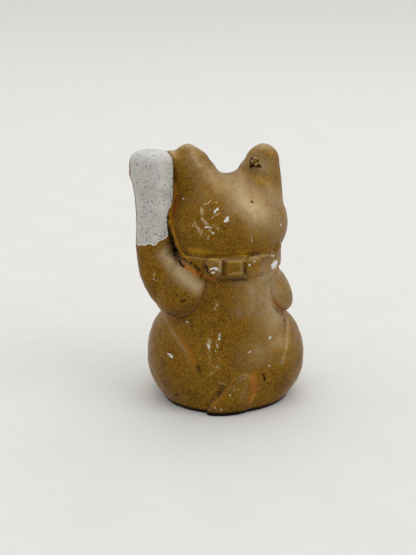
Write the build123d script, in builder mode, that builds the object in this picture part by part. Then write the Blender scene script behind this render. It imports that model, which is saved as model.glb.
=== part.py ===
from build123d import *

import math
import os

# Lucky cat figurine: a small hollow cat of pressed clay, sitting with its left paw raised.
# The cat looks along -Y, its own left is +X and +Z is up. The origin is on the ground, under the middle
# of the body. Two pressed half shells meet at an upright seam, a bead of slip inside holds them together
# and a slab closes the base. The arms, collar, bow, bell, tail and hind paws are pressed on with slip.

# Driving dimensions, in millimetres

# Clay
wall = 2.4
slip_gap = 0.12
seam_forward = 1.0

# Torso, as level ovals from the ground up, each a rise above the one below
base_half_width = 16.8
base_half_depth = 14.1
belly_rise = 9.0
belly_half_width = 18.0
belly_half_depth = 15.0
waist_rise = 11.0
waist_half_width = 15.4
waist_half_depth = 13.6
chest_rise = 8.5
chest_half_width = 13.9
chest_half_depth = 12.3
neck_rise = 8.5
neck_half_width = 13.0
neck_half_depth = 10.9
nape_rise = 7.0
nape_half_width = 10.5
nape_half_depth = 9.0

# Haunches
haunch_half_width = 10.4
haunch_half_depth = 14.2
haunch_half_height = 13.4
haunch_out = 10.7
haunch_forward = 1.2
haunch_height = 11.0
left_haunch_extra = 0.8

# Head and face
head_half_width = 16.0
head_half_depth = 13.0
head_half_height = 13.4
head_rise = 10.4
head_forward = 1.0
cheek_half_width = 7.0
cheek_half_depth = 6.0
cheek_half_height = 5.6
cheek_out = 7.6
cheek_forward = 5.4
cheek_drop = 4.2
muzzle_half_width = 3.3
muzzle_half_depth = 3.0
muzzle_half_height = 2.8
muzzle_out = 2.2
muzzle_drop = 2.6
nose_half_width = 1.5
nose_half_depth = 1.2
nose_half_height = 1.1
nose_drop = 0.5
eye_half_width = 2.5
eye_half_height = 1.6
eye_stand = 0.7
eye_out = 5.4
eye_rise = 3.0

# Ears
ear_root_half_width = 7.9
ear_root_half_depth = 6.0
ear_root_out = 7.2
ear_root_rise = 1.0
ear_mid_half_width = 6.6
ear_mid_half_depth = 4.4
ear_mid_out = 8.0
ear_mid_rise = 10.8
ear_top_half_width = 4.2
ear_top_half_depth = 3.2
ear_top_half_height = 3.7
ear_top_out = 9.6
ear_top_rise = 16.4
ear_forward = 2.0
left_ear_extra = 0.5
left_ear_spread = 0.7
crumb_radius = 0.9
crumb_out = 6.9
crumb_back = 1.2
crumb_rise = 15.5

# Collar, bow and bell
collar_stand = 1.3
collar_half_height = 2.8
collar_rise = 2.1
collar_round = 0.9
loop_radius = 2.5
loop_stand = 1.5
loop_spacing = 5.0
bow_out = 0.4
knot_half_width = 2.2
knot_stand = 1.3
knot_round = 0.8
knot_dimple_radius = 1.3
knot_dimple_depth = 0.5
bow_rise = 0.4
bell_radius = 3.2
bell_out = 1.4
bell_drop = 5.6
bell_rib_stand = 0.5
bell_rib_height = 0.9
bell_slot_width = 0.8
bell_eye_radius = 0.9

# Raised arm
shoulder_half_width = 7.0
shoulder_half_depth = 7.3
shoulder_half_length = 9.3
shoulder_lean_angle = 35.0
shoulder_out = 11.7
shoulder_back = 4.0
shoulder_drop = 4.1
elbow_half_width = 4.4
elbow_half_depth = 4.4
elbow_out = 13.6
elbow_back = 3.4
elbow_drop = 10.4
forearm_half_width = 5.1
forearm_half_depth = 4.8
forearm_out = 18.4
forearm_back = 1.0
forearm_rise = 11.4
wrist_half_width = 4.9
wrist_half_depth = 4.5
wrist_out = 18.7
wrist_rise = 10.0
paw_half_width = 5.6
paw_half_depth = 4.8
paw_out = 19.4
paw_rise = 13.0
paw_top_rise = 6.2
paw_round = 2.8

# Lowered arm
low_shoulder_half_width = 4.8
low_shoulder_half_depth = 7.6
low_shoulder_half_length = 8.4
low_shoulder_lean_angle = 36.0
low_shoulder_out = 11.1
low_shoulder_back = 1.2
low_shoulder_drop = 6.4
foreleg_root_radius = 5.6
foreleg_root_out = 10.8
foreleg_root_forward = 5.2
foreleg_root_drop = 11.6
foreleg_end_radius = 4.6
foreleg_end_out = 4.2
foreleg_end_forward = 15.0
foreleg_end_height = 5.6
forepaw_half_width = 4.3
forepaw_half_depth = 4.9
forepaw_half_height = 3.6
forepaw_out = 3.6
forepaw_forward = 16.6
forepaw_height = 2.6

# Hind paws and tail
hind_paw_half_width = 4.2
hind_paw_half_depth = 5.6
hind_paw_half_height = 4.2
hind_paw_out = 12.9
hind_paw_forward = 12.6
hind_paw_height = 3.2
tail_half_width = 5.0
tail_half_depth = 1.7
tail_half_length = 9.6
tail_out = 1.4
tail_sink = 1.0
tail_height = 2.8
tail_lean_angle = 30.0
tail_tilt_angle = 6.0

# Slip bead, base slab and vent
bead_width = 3.6
bead_thickness = 1.1
slab_thickness = 2.6
vent_radius = 2.5
vent_back = 5.0

# Heights above the ground
waist_height = belly_rise + waist_rise
chest_height = waist_height + chest_rise
neck_height = chest_height + neck_rise
nape_height = neck_height + nape_rise
head_height = neck_height + head_rise
collar_height = neck_height + collar_rise
shoulder_height = neck_height - shoulder_drop
elbow_height = neck_height - elbow_drop
forearm_height = elbow_height + forearm_rise
wrist_height = forearm_height + wrist_rise
paw_height = wrist_height + paw_rise
low_shoulder_height = neck_height - low_shoulder_drop
foreleg_root_height = neck_height - foreleg_root_drop


def ellipsoid(centre, half_sizes, turn=(0, 0, 0)):
    """A ball stretched to three half sizes, turned about its own centre, then carried to its place."""
    with BuildPart() as ball:
        Sphere(1)
        scale(by=half_sizes)
    return ball.part.moved(Location(centre, turn))


def level_loft(sections):
    """A smooth form through level ovals, each given as height, x, y, half width and half depth."""
    with BuildPart() as form:
        for height, x, y, half_width, half_depth in sections:
            with BuildSketch(Plane.XY.offset(height)):
                with Locations((x, y)):
                    Ellipse(half_width, half_depth)
        loft()
    return form.part


def oval_depth(x, half_width, half_depth):
    """How far an oval's edge stands from its long axis at x."""
    return half_depth * math.sqrt(1 - (x / half_width) ** 2)


def oval_turn(x, half_width, half_depth):
    """The angle, in degrees, that the edge of an oval has turned through at x."""
    return math.degrees(math.atan2(x * half_depth, half_width**2 * math.sqrt(1 - (x / half_width) ** 2)))


def body_form(inset):
    """The torso, haunches and head as one form, drawn in all round by the inset."""
    torso = level_loft(
        [
            (0, 0, 0, base_half_width - inset, base_half_depth - inset),
            (belly_rise, 0, 0, belly_half_width - inset, belly_half_depth - inset),
            (waist_height, 0, 0, waist_half_width - inset, waist_half_depth - inset),
            (chest_height, 0, 0, chest_half_width - inset, chest_half_depth - inset),
            (neck_height, 0, 0, neck_half_width - inset, neck_half_depth - inset),
            (nape_height, 0, 0, nape_half_width - inset, nape_half_depth - inset),
        ]
    )
    haunches = [
        ellipsoid(
            (side * haunch_out, -haunch_forward, haunch_height + extra),
            (haunch_half_width - inset, haunch_half_depth - inset, haunch_half_height + extra - inset),
        )
        for side, extra in ((1, left_haunch_extra), (-1, 0))
    ]
    head = ellipsoid(
        (0, -head_forward, head_height),
        (head_half_width - inset, head_half_depth - inset, head_half_height - inset),
    )
    with BuildPart() as form:
        add(torso)
        add(haunches)
        add(head)
        split(bisect_by=Plane.XY, keep=Keep.TOP)
    return form.part


def ear_form(side, grow):
    """One ear, grown all round: a cone of ovals with a blunt rounded top."""
    extra, spread = (left_ear_extra, left_ear_spread) if side > 0 else (0, 0)
    root_height = head_height + ear_root_rise
    mid_height = head_height + ear_mid_rise
    top_height = head_height + ear_top_rise + extra
    root_out = side * ear_root_out
    mid_out = side * (ear_mid_out - spread / 2)
    top_out = side * (ear_top_out - spread / 2)
    root_half_width = ear_root_half_width + grow
    mid_half_width = ear_mid_half_width + spread + grow
    top_half_width = ear_top_half_width + spread + grow
    cone = level_loft(
        [
            (root_height, root_out, -ear_forward, root_half_width, ear_root_half_depth + grow),
            (mid_height, mid_out, -ear_forward, mid_half_width, ear_mid_half_depth + grow),
            (top_height, top_out, -ear_forward, top_half_width, ear_top_half_depth + grow),
        ]
    )
    cap = ellipsoid(
        (top_out, -ear_forward, top_height),
        (top_half_width, ear_top_half_depth + grow, ear_top_half_height + grow),
    )
    with BuildPart() as form:
        add(cone)
        add(cap)
    return form.part


def cheek_form(side, grow):
    """One cheek, grown all round and clear of the collar."""
    swell = ellipsoid(
        (side * cheek_out, -head_forward - cheek_forward, head_height - cheek_drop),
        (cheek_half_width + grow, cheek_half_depth + grow, cheek_half_height + grow),
    )
    with BuildPart() as form:
        add(swell)
        add(collar_space, mode=Mode.SUBTRACT)
    return form.part


def face_point(x, rise, stand):
    """A point over the face, at x and a rise from the head's middle, by how far it stands proud."""
    level = math.sqrt(1 - (x / head_half_width) ** 2 - (rise / head_half_height) ** 2)
    return (x, -head_forward - head_half_depth * level - stand, head_height + rise)


def collar_block(grow):
    """The collar's oval, filled in, grown all round."""
    with BuildPart() as block:
        with BuildSketch(Plane.XY.offset(collar_height - collar_half_height - grow)):
            Ellipse(neck_half_width + collar_stand + grow, neck_half_depth + collar_stand + grow)
        extrude(amount=2 * (collar_half_height + grow))
    return block.part


# The skin, the hollow, and the space that stuck-on pieces keep clear of
skin = body_form(0)
hollow = body_form(wall)
skin_space = body_form(-slip_gap)
collar_space = collar_block(slip_gap)

# The face and ears that the shells carry
ears = [ear_form(1, 0), ear_form(-1, 0)]
cheeks = [cheek_form(1, 0), cheek_form(-1, 0)]
muzzle = [
    ellipsoid(
        face_point(side * muzzle_out, -muzzle_drop, 0),
        (muzzle_half_width, muzzle_half_depth, muzzle_half_height),
    )
    for side in (1, -1)
]
nose = ellipsoid(
    face_point(0, -nose_drop, muzzle_half_depth - nose_half_depth),
    (nose_half_width, nose_half_depth, nose_half_height),
)
eyes = [
    ellipsoid(
        face_point(side * eye_out, eye_rise, 0),
        (eye_half_width, eye_stand, eye_half_height),
        turn=(0, 0, side * oval_turn(eye_out, head_half_width, head_half_depth)),
    )
    for side in (1, -1)
]

# Both halves as one hollow pressing, before the seam
with BuildPart() as pressing:
    add(skin)
    add(ears)
    add(cheeks)
    add(muzzle)
    add(nose)
    add(eyes)
    with Locations((-crumb_out, crumb_back, head_height + crumb_rise)):
        Sphere(crumb_radius)
    add(hollow, mode=Mode.SUBTRACT)

seam = Plane.XZ.offset(seam_forward)

with BuildPart() as front_shell:
    add(pressing.part)
    split(bisect_by=seam, keep=Keep.TOP)

with BuildPart() as back_shell:
    add(pressing.part)
    split(bisect_by=seam, keep=Keep.BOTTOM)

# The slab that closes the base, with its air vent
with BuildPart() as base_slab:
    add(body_form(wall + slip_gap))
    split(bisect_by=Plane.XY.offset(slab_thickness), keep=Keep.BOTTOM)
    with Locations((0, vent_back, slab_thickness)):
        Hole(vent_radius)

# The bead of slip pressed along the seam from inside
with BuildPart() as seam_slip:
    add(body_form(wall + slip_gap))
    add(body_form(wall + bead_thickness), mode=Mode.SUBTRACT)
    split(bisect_by=Plane.XY.offset(slab_thickness + slip_gap), keep=Keep.TOP)
    split(bisect_by=Plane.XZ.offset(seam_forward - bead_width / 2), keep=Keep.TOP)
    split(bisect_by=Plane.XZ.offset(seam_forward + bead_width / 2), keep=Keep.BOTTOM)

# The collar
with BuildPart() as collar_band:
    add(collar_block(0))
    fillet(collar_band.edges(), collar_round)
    add(skin_space, mode=Mode.SUBTRACT)

collar_half_width = neck_half_width + collar_stand
collar_half_depth = neck_half_depth + collar_stand

# The bow at the nape: a loop each side of a knot
bow_height = collar_height + bow_rise


def bow_loop(side):
    """One loop of the bow, seated on the collar."""
    x = bow_out + side * loop_spacing
    turn = -oval_turn(x, collar_half_width, collar_half_depth)
    back = oval_depth(x, collar_half_width, collar_half_depth)
    boss = ellipsoid((x, back, bow_height), (loop_radius, loop_stand, loop_radius), (0, 0, turn))
    with BuildPart() as loop:
        add(boss)
        add(collar_space, mode=Mode.SUBTRACT)
        add(skin_space, mode=Mode.SUBTRACT)
    return loop


bow_left_loop = bow_loop(1)
bow_right_loop = bow_loop(-1)

with BuildPart() as bow_knot:
    with Locations((bow_out, collar_half_depth, bow_height)):
        Box(2 * knot_half_width, 2 * knot_stand, 2 * knot_half_width)
    fillet(bow_knot.edges(), knot_round)
    dimple_back = collar_half_depth + knot_stand + knot_dimple_radius - knot_dimple_depth
    with Locations((bow_out, dimple_back, bow_height)):
        Sphere(knot_dimple_radius, mode=Mode.SUBTRACT)
    add(collar_space, mode=Mode.SUBTRACT)
    add(skin_space, mode=Mode.SUBTRACT)

# The bell under the chin
bell_centre = (0, -collar_half_depth - bell_out, collar_height - bell_drop)

with BuildPart() as neck_bell:
    with Locations(bell_centre):
        Sphere(bell_radius)
        Cylinder(bell_radius + bell_rib_stand, bell_rib_height)
        with Locations((0, 0, -bell_radius)):
            Box(bell_slot_width, 2 * bell_radius, bell_radius, mode=Mode.SUBTRACT)
            with Locations((0, -bell_radius, bell_radius / 2)):
                Sphere(bell_eye_radius, mode=Mode.SUBTRACT)
    add(collar_space, mode=Mode.SUBTRACT)
    add(skin_space, mode=Mode.SUBTRACT)

# The raised arm: an upper arm across the shoulder, and a forearm up to the paw
upper_arm = ellipsoid(
    (shoulder_out, shoulder_back, shoulder_height),
    (shoulder_half_width, shoulder_half_depth, shoulder_half_length),
    turn=(0, -shoulder_lean_angle, 0),
)
forearm = level_loft(
    [
        (elbow_height, elbow_out, elbow_back, elbow_half_width, elbow_half_depth),
        (forearm_height, forearm_out, forearm_back, forearm_half_width, forearm_half_depth),
        (wrist_height, wrist_out, 0, wrist_half_width, wrist_half_depth),
        (paw_height, paw_out, 0, paw_half_width, paw_half_depth),
    ]
)

with BuildPart() as paw_block:
    with BuildSketch(Plane.XY.offset(paw_height)):
        with Locations((paw_out, 0)):
            Ellipse(paw_half_width, paw_half_depth)
    extrude(amount=paw_top_rise)
    fillet(paw_block.faces().sort_by(Axis.Z)[-1].edges(), paw_round)

with BuildPart() as raised_arm:
    add(forearm)
    add(paw_block.part)
    add(upper_arm)
    add(skin_space, mode=Mode.SUBTRACT)
    add(collar_space, mode=Mode.SUBTRACT)
    add(ear_form(1, slip_gap), mode=Mode.SUBTRACT)
    add(cheek_form(1, slip_gap), mode=Mode.SUBTRACT)

# The lowered arm: an upper arm at the side, and a foreleg down the front to a paw on the ground
foreleg_root = Vector(-foreleg_root_out, -foreleg_root_forward, foreleg_root_height)
foreleg_end = Vector(-foreleg_end_out, -foreleg_end_forward, foreleg_end_height)
foreleg_way = foreleg_end - foreleg_root
low_upper_arm = ellipsoid(
    (-low_shoulder_out, low_shoulder_back, low_shoulder_height),
    (low_shoulder_half_width, low_shoulder_half_depth, low_shoulder_half_length),
    turn=(0, low_shoulder_lean_angle, 0),
)

forepaw = ellipsoid(
    (-forepaw_out, -forepaw_forward, forepaw_height),
    (forepaw_half_width, forepaw_half_depth, forepaw_half_height),
)

with BuildPart() as lowered_arm:
    with BuildSketch(Plane(foreleg_root, z_dir=foreleg_way)):
        Circle(foreleg_root_radius)
    with BuildSketch(Plane(foreleg_end, z_dir=foreleg_way)):
        Circle(foreleg_end_radius)
    loft()
    with Locations(foreleg_root):
        Sphere(foreleg_root_radius)
    with Locations(foreleg_end):
        Sphere(foreleg_end_radius)
    add(low_upper_arm)
    add(forepaw)
    add(skin_space, mode=Mode.SUBTRACT)
    add(collar_space, mode=Mode.SUBTRACT)
    split(bisect_by=Plane.XY, keep=Keep.TOP)


def hind_paw(side):
    """One hind paw, flat on the ground."""
    pad = ellipsoid(
        (side * hind_paw_out, -hind_paw_forward, hind_paw_height),
        (hind_paw_half_width, hind_paw_half_depth, hind_paw_half_height),
    )
    with BuildPart() as paw:
        add(pad)
        add(skin_space, mode=Mode.SUBTRACT)
        split(bisect_by=Plane.XY, keep=Keep.TOP)
    return paw


left_hind_paw = hind_paw(1)
right_hind_paw = hind_paw(-1)

# The tail, laid up the back from the ground
tail_form = ellipsoid(
    (tail_out, belly_half_depth - tail_sink, tail_height),
    (tail_half_width, tail_half_depth, tail_half_length),
    turn=(-tail_tilt_angle, -tail_lean_angle, 0),
)

with BuildPart() as tail:
    add(tail_form)
    add(skin_space, mode=Mode.SUBTRACT)
    split(bisect_by=Plane.XY, keep=Keep.TOP)

pieces = {
    "front_shell": front_shell,
    "back_shell": back_shell,
    "base_slab": base_slab,
    "seam_slip": seam_slip,
    "collar_band": collar_band,
    "bow_left_loop": bow_left_loop,
    "bow_knot": bow_knot,
    "bow_right_loop": bow_right_loop,
    "neck_bell": neck_bell,
    "raised_arm": raised_arm,
    "lowered_arm": lowered_arm,
    "left_hind_paw": left_hind_paw,
    "right_hind_paw": right_hind_paw,
    "tail": tail,
}

os.makedirs("parts", exist_ok=True)
for name, piece in pieces.items():
    piece.part.label = name
    export_step(piece.part, f"parts/{name}.step")
    print(name, len(piece.part.solids()), "solid,", round(piece.part.volume), "cubic mm")
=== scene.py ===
"""Lucky cat figurine: the looks of a small pressed-clay cat, painted dull gold and worn, seen from behind."""

import math

import bmesh
import bpy
import numpy as np
from bpy.props import FloatProperty, FloatVectorProperty, IntProperty, PointerProperty
from mathutils import Matrix, Vector, noise
from mathutils.bvhtree import BVHTree


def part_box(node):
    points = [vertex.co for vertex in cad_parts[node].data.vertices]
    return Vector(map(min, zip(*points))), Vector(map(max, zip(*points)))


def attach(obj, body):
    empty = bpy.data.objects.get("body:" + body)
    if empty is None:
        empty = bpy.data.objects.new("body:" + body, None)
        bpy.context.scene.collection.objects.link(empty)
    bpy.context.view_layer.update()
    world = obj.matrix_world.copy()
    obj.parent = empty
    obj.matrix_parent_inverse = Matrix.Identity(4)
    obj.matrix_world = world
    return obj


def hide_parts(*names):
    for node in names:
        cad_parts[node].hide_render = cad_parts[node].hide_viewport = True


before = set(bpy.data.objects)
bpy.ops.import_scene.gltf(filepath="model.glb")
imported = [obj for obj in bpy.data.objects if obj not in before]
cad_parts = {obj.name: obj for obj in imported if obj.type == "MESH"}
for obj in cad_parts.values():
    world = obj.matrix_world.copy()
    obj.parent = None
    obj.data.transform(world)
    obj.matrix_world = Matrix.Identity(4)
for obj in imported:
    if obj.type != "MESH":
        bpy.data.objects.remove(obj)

bl_info = {
    "name": "Lucky Cat Figurine",
    "version": (1, 0, 0),
    "blender": (4, 5, 0),
    "location": "3D View > Sidebar > Lucky Cat",
    "description": "Dresses the clay cat: its skin, arms, collar, bow, bell, paws, tail and worn gold paint",
    "category": "Object",
}

MM = 0.001
FULL_FRAME = 36.0

# Steps in each round of filling, and the share of the way that a place slides along the surface in a step
FILL_STEPS = 8
SLIDE_SHARE = 0.3

# How fine the patterns of the paint, the clay and the floor's paper are, as their noise counts them
CLOUDS = 85
BLOTCHES = 310
SPECKLE = 1250
DUST = 3000
HOLES = 1700
CLAY_CLOUDS = 160
CLAY_GRAIN = 1500
PAPER_FIBRES = 60

# Marks on the back, seen from behind. Each is a line of x and z places in millimetres, half its width in
# millimetres, and the share of it that shows. A line of one place is a round mark.
WHITE_CHIPS = (
    (((5.0, 53.4), (4.6, 53.8), (4.2, 54.2)), 0.24, 1.0),
    (((2.5, 51.4), (1.8, 52.3)), 0.36, 1.0),
    (((7.4, 49.6), (6.9, 50.0), (6.1, 49.8)), 0.17, 0.9),
    (((5.8, 48.5), (5.6, 48.3)), 0.24, 0.9),
    (((5.9, 53.9),), 0.2, 0.8),
    (((11.8, 55.5),), 0.24, 0.7),
    (((-12.6, 48.4),), 0.26, 0.8),
    (((-11.1, 38.4), (-10.8, 38.2)), 0.85, 1.0),
    (((-10.6, 40.8), (-10.2, 40.9)), 0.4, 0.65),
    (((6.2, 39.6), (5.5, 39.8), (4.7, 39.4)), 0.26, 1.0),
    (((6.0, 38.6), (5.7, 38.7)), 0.24, 1.0),
    (((-3.5, 40.2),), 0.32, 1.0),
    (((-4.6, 41.0),), 0.3, 0.7),
    (((11.8, 24.0),), 0.3, 0.9),
    (((16.8, 16.0), (16.2, 15.6)), 0.34, 1.0),
    (((6.9, 18.9), (6.9, 18.4)), 0.3, 0.8),
    (((4.1, 21.8), (4.3, 20.7)), 0.3, 0.6),
    (((4.8, 19.4), (4.7, 18.7)), 0.24, 0.65),
    (((5.3, 17.6),), 0.22, 0.8),
    (((7.2, 16.8),), 0.24, 0.8),
    (((-9.5, 19.6),), 0.3, 1.0),
    (((-8.9, 12.5),), 0.22, 0.8),
    (((-3.4, 16.9), (-3.9, 17.0)), 0.2, 0.8),
    (((-0.8, 21.5),), 0.2, 0.7),
    (((1.9, 6.2),), 0.24, 0.8),
    (((5.8, 2.6),), 0.3, 0.6),
    (((4.2, 2.1),), 0.3, 0.6),
)
# Scrapes, which show paler paint, and one painted highlight.
SCRAPES_AND_HIGHLIGHT = (
    (((7.5, 54.9), (7.1, 55.1), (6.5, 55.2), (6.0, 55.6), (5.6, 55.9)), 0.19, 1.0),
    (((4.9, 55.6), (4.2, 55.5)), 0.19, 0.9),
    (((5.8, 52.0), (4.9, 52.7), (3.8, 53.3)), 0.19, 1.0),
    (((4.0, 54.4), (3.8, 54.6)), 0.2, 0.9),
    (((7.9, 53.9), (7.8, 52.9)), 0.5, 1.0),
    (((8.0, 51.9), (7.6, 51.3), (7.1, 50.8)), 0.48, 1.0),
    (((10.1, 50.3), (9.3, 49.5), (8.3, 48.2)), 0.65, 0.85),
    (((6.5, 49.3), (6.1, 48.8), (5.7, 48.4)), 0.19, 1.0),
    (((4.9, 50.8), (5.5, 50.3)), 0.22, 0.9),
    (((4.6, 49.9), (4.4, 49.5)), 0.5, 0.8),
    (((6.8, 47.7), (6.8, 46.9)), 0.24, 0.8),
    (((-4.0, 47.6), (-4.3, 45.8)), 0.2, 0.8),
    # This wide pale mark on the head's right side is a painted highlight.
    (((-4.2, 53.8), (-5.2, 52.2)), 1.7, 0.65),
    (((9.2, 66.2), (7.4, 63.4)), 1.1, 0.6),
    (((6.9, 20.6), (6.6, 19.9), (7.0, 18.9), (6.6, 17.8)), 0.6, 0.75),
    (((4.1, 22.1), (4.3, 20.4)), 0.5, 0.6),
    (((4.9, 19.8), (4.7, 18.6)), 0.45, 0.6),
    (((6.5, 16.0), (6.8, 14.2)), 0.8, 0.55),
    (((5.8, 13.4), (4.7, 13.1)), 0.7, 0.6),
    (((6.4, 12.0), (7.0, 11.4)), 0.7, 0.6),
    (((4.1, 15.3),), 0.45, 0.6),
    (((4.3, 30.7), (5.0, 28.6)), 0.5, 0.7),
    (((4.5, 9.2), (2.8, 8.9)), 0.19, 0.9),
    (((0.9, 7.6), (-0.5, 7.5)), 0.4, 0.6),
    (((17.2, 57.6), (16.3, 56.6)), 1.0, 0.8),
    (((19.7, 37.1), (19.9, 35.6)), 0.2, 0.8),
    (((19.9, 35.3), (19.0, 35.2)), 0.2, 0.9),
)
ORANGE_LINES = (
    (((13.3, 57.0), (13.2, 55.0), (14.1, 52.5), (14.7, 49.5), (14.4, 47.0)), 0.4, 0.75),
    (((12.4, 39.6), (10.8, 38.6), (8.9, 37.5), (7.3, 36.9), (5.1, 35.9)), 0.55, 1.0),
    (((16.4, 24.0),), 1.0, 0.8),
    (((8.0, 32.0), (8.7, 30.2), (10.2, 28.0), (12.0, 26.3), (14.1, 25.3)), 0.9, 0.7),
    (((16.2, 24.2), (15.2, 22.4), (13.8, 20.5), (11.7, 17.2), (10.2, 14.7)), 0.9, 0.6),
    (((-10.9, 28.5), (-12.7, 26.3), (-15.6, 23.0)), 0.8, 0.8),
    (((-3.0, 36.5), (-5.6, 36.0)), 0.5, 0.7),
    (((-7.4, 38.2), (-8.6, 37.4)), 1.2, 0.4),
    (((0.3, 10.5), (1.7, 9.1), (3.0, 7.5), (3.8, 6.0), (6.5, 3.1)), 0.55, 0.6),
    (((-4.4, 10.2), (-4.6, 8.4), (-4.3, 5.9), (-3.3, 3.4)), 1.1, 0.9),
)
GOLD_LINES = (
    (((13.6, 58.6), (13.4, 56.5), (14.3, 54.3), (15.1, 51.1)), 0.35, 0.8),
    (((15.1, 51.1), (15.0, 48.3), (14.2, 45.2), (13.3, 42.9), (12.4, 41.5), (11.4, 40.8)), 0.4, 1.0),
    (((10.4, 43.2), (4.0, 42.4), (-3.0, 42.5)), 1.2, 0.6),
    (((-4.6, 5.4), (-3.6, 3.4)), 0.7, 0.6),
)
# The lines along the crevice between the raised arm and the head, at the lower edges of the bow and the
# collar and under the arm's blob are painted shade, with some soot specks in the crevice; the round marks are
# real pits.
DARK_LINES = (
    (((15.7, 51.0), (15.5, 47.4), (14.6, 43.9), (13.8, 41.6), (13.5, 40.2), (12.8, 39.4)), 0.36, 1.0),
    (((14.5, 42.4), (13.8, 40.4)), 0.6, 0.6),
    (((7.5, 40.3), (7.2, 38.3), (5.9, 37.1)), 0.3, 0.8),
    (((-5.9, 36.9), (-7.1, 37.4)), 0.24, 0.7),
    (((16.4, 26.6), (14.8, 26.0), (13.0, 26.6)), 0.4, 0.7),
    (((-4.6, 55.4),), 0.36, 1.0),
    (((-7.4, 10.1), (-7.7, 8.9)), 0.32, 1.0),
    (((14.9, 4.2),), 0.4, 1.0),
    (((4.4, 17.8), (3.7, 18.0)), 0.24, 0.9),
    (((2.6, 17.3),), 0.22, 0.8),
    (((13.4, 30.6), (12.6, 31.2)), 0.3, 0.8),
    (((14.6, 32.4),), 0.26, 0.8),
    (((12.7, 32.9),), 0.26, 0.8),
    (((10.6, 31.0),), 0.26, 0.8),
    (((19.5, 35.5),), 0.26, 0.8),
    (((9.6, 60.4),), 0.26, 0.7),
)
# Paler places: mostly painted sheen on the head, the ears, the shoulders and the haunches, where light
# catches them, and partly rubbed wear.
SHEEN_AND_WEAR_LINES = (
    (((3.6, 61.6), (0.3, 60.2), (-2.6, 61.2)), 3.6, 0.6),
    (((9.2, 66.0), (7.2, 63.0), (3.7, 59.8), (-1.8, 57.0)), 3.2, 0.6),
    (((-2.8, 56.0), (-7.1, 52.6)), 4.6, 0.85),
    (((-6.0, 64.5), (-9.5, 62.0)), 4.5, 0.55),
    (((-10.7, 56.0), (-11.0, 49.0)), 4.5, 0.55),
    (((16.9, 41.3), (14.6, 38.8), (12.7, 36.7), (9.4, 34.0)), 2.0, 0.85),
    (((-5.0, 35.4), (-4.4, 30.0)), 4.5, 0.55),
    (((-8.5, 35.0), (-9.7, 30.0), (-11.3, 23.2)), 5.0, 0.7),
    (((-6.4, 17.0), (-12.0, 18.0)), 5.0, 0.5),
    (((-15.5, 21.6), (-14.4, 18.5), (-13.2, 15.0), (-12.2, 12.6)), 0.8, 0.6),
    (((17.4, 63.5), (17.0, 52.0)), 1.6, 0.7),
    (((-2.3, 8.6), (-1.9, 7.3), (-0.9, 4.7)), 1.0, 0.4),
    (((4.0, 41.2), (4.2, 39.0)), 0.4, 0.7),
    (((-1.2, 41.4), (-1.4, 38.4), (1.4, 38.3)), 0.35, 0.6),
)

# Joins where no painted shade darkens the seam, as lines like the marks above
SOFT_JOINS = (
    (((-7.0, 36.2), (-13.2, 37.4)), 2.2, 1.0),
    (((-8.5, 37.0), (-9.6, 33.0), (-10.2, 30.6)), 2.4, 1.0),
    (((-8.5, 42.0), (-13.0, 43.0)), 1.6, 0.9),
    (((1.2, 11.4), (-1.4, 12.2), (-4.2, 11.4)), 1.2, 1.0),
)

# Where the head's own form is nudged, seen from behind: a place, how far round it the nudge reaches, and
# how far it goes aside and up, all in millimetres
NUDGES = (
    ((9.8, 68.0), 3.6, (0.0, 0.45)),
    ((5.0, 68.8), 5.6, (1.0, -0.4)),
    ((0.0, 60.6), 5.0, (0.0, -0.55)),
    ((-4.0, 63.0), 3.6, (0.45, 0.1)),
    ((-9.8, 67.6), 3.6, (0.0, 0.3)),
)

# The bare patch on the raised arm and the lines pressed in the back, as x and z in millimetres from behind
BARE_OUTLINE = (
    (27.0, 42.8), (22.6, 43.5), (20.7, 44.5), (19.4, 44.1), (18.1, 45.1), (15.9, 45.8),
    (15.8, 52.0), (14.8, 53.9), (14.2, 57.0), (14.0, 70.0), (27.0, 70.0),
)
PRESSED_LINES = (
    ((15.8, 23.6), (14.2, 21.6), (12.1, 18.6), (10.4, 15.2), (9.4, 12.0)),
    ((-14.6, 21.6), (-13.9, 18.5), (-13.0, 15.2), (-12.1, 12.6)),
    ((-6.6, 35.8), (-8.6, 33.2), (-11.3, 29.9), (-14.9, 25.1)),
)

# Clay smeared over the joins: the web between the left ear and the paw, then the right shoulder, the
# collar's right end and the tail's top, as middles and half sizes in millimetres
SMEARS = (
    ((14.3, -1.0, 64.5), (2.7, 2.8, 2.5)),
    ((-9.6, 7.2, 34.4), (2.9, 1.8, 4.7)),
    ((-11.0, 4.2, 36.2), (2.2, 2.6, 1.8)),
    ((-8.0, 7.6, 36.4), (2.2, 1.7, 1.5)),
    ((-8.5, 7.9, 42.0), (1.9, 1.6, 1.3)),
    ((-11.0, 6.0, 42.0), (1.7, 1.7, 1.3)),
    ((-1.7, 13.6, 10.7), (2.5, 1.75, 1.5)),
)

# The pieces that the body's skin is smoothed over to
SMOOTHED_OVER = ("lowered_arm", "collar_band", "tail")

# Lines pressed in the front, as x and z in millimetres, then half the width and the depth in millimetres
FACE_LINES = (
    (((0.0, 46.0), (0.0, 44.4)), 0.45, 0.35),
    (((0.0, 44.4), (1.4, 43.5), (3.2, 43.9)), 0.45, 0.35),
    (((0.0, 44.4), (-1.4, 43.5), (-3.2, 43.9)), 0.45, 0.35),
    (((6.4, 46.0), (10.8, 47.0)), 0.4, 0.25),
    (((6.4, 45.0), (11.0, 44.8)), 0.4, 0.25),
    (((6.2, 44.0), (10.4, 42.8)), 0.4, 0.25),
    (((-6.4, 46.0), (-10.8, 47.0)), 0.4, 0.25),
    (((-6.4, 45.0), (-11.0, 44.8)), 0.4, 0.25),
    (((-6.2, 44.0), (-10.4, 42.8)), 0.4, 0.25),
    (((3.4, 50.6), (5.4, 50.0), (7.4, 50.6)), 0.4, 0.4),
    (((-3.4, 50.6), (-5.4, 50.0), (-7.4, 50.6)), 0.4, 0.4),
    (((9.0, 58.5), (9.6, 63.0)), 2.6, 0.8),
    (((-9.0, 58.5), (-9.8, 62.6)), 2.6, 0.8),
)
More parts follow.
